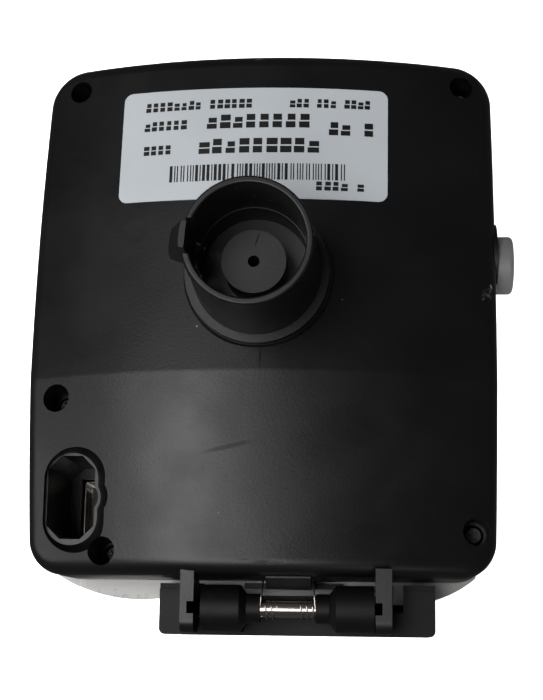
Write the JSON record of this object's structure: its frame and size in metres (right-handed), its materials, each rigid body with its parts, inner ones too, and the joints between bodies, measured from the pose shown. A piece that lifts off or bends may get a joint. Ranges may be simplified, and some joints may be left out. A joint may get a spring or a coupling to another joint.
{
  "type": "video magnifier camera head",
  "caption": "Boxy camera head with a crowned black back, a socket for its supporting arm, a cable well, a side button, a silver front and a hinged close-up lens.",
  "frame": {"origin": "centre of the mouth of the arm socket on the back", "axes": "+Z out of the socket along its axis, +Y towards the top edge, +X to the right as seen from behind"},
  "size_m": [0.131, 0.1578, 0.1006],
  "materials": {
    "black_casing": "fine-grained black ABS",
    "silver_shell": "silver lacquer on plastic",
    "socket_plastic": "satin black nylon",
    "door_plastic": "satin black plastic",
    "clear_acrylic": "polished",
    "window_glass": "polished, coated",
    "label_film": "silver polyester film with black print",
    "steel": "bright zinc or nickel",
    "black_steel": "black oxide",
    "brass": "machined",
    "rubber": "soft",
    "circuit_board": "green solder mask",
    "components": "moulded epoxy",
    "camera_metal": "anodised",
    "lamp_resin": "phosphor resin",
    "flat_cable": "polyester film",
    "silver_button": "satin silver-grey",
    "natural_nylon": "slippery"
  },
  "bodies": {
    "case": {"rear_cover": "black_casing", "front_shell": "silver_shell", "casing_screws": "black_steel", "threaded_inserts": "brass", "rating_label": "label_film", "friction_washer": "natural_nylon", "hinge_pin": "steel", "hinge_spring": "steel", "button_switch": "components", "button_board": "circuit_board", "inner_chassis": "steel", "chassis_screws": "steel", "camera_block": "camera_metal", "camera_barrel": "camera_metal", "objective_lens": "window_glass", "sensor_board": "circuit_board", "main_board": "circuit_board", "board_screws": "steel", "board_parts": "components", "port_shell": "steel", "port_tongue": "components", "lamp_board": "circuit_board", "lamps": "lamp_resin", "lamp_posts": "natural_nylon", "front_window": "window_glass", "window_gasket": "rubber", "ribbon_cable": "flat_cable"},
    "socket": {"arm_socket": "socket_plastic", "retaining_ring": "steel"},
    "door": {"lens_door": "door_plastic", "close_up_lens": "clear_acrylic", "lens_ring": "door_plastic", "door_bumpers": "rubber"},
    "button": {"side_button": "silver_button"}
  },
  "joints": [
    {"name": "socket_swivel", "type": "hinge", "parent": "case", "child": "socket", "pos_m": [0, 0, 0], "axis": [0, 0, 1], "range_deg": [-170, 170]},
    {"name": "lens_door_hinge", "type": "hinge", "parent": "case", "child": "door", "pos_m": [0.00845, -0.0855, -0.0415], "axis": [-1, 0, 0], "range_deg": [0, 100], "stiffness_Nm_per_rad": 0.03, "springref_deg": -68.75},
    {"name": "button_press", "type": "slide", "parent": "case", "child": "button", "axis": [-1, 0, 0], "range_m": [0, 0.0012], "stiffness_N_per_m": 800, "springref_m": -0.0006}
  ]
}
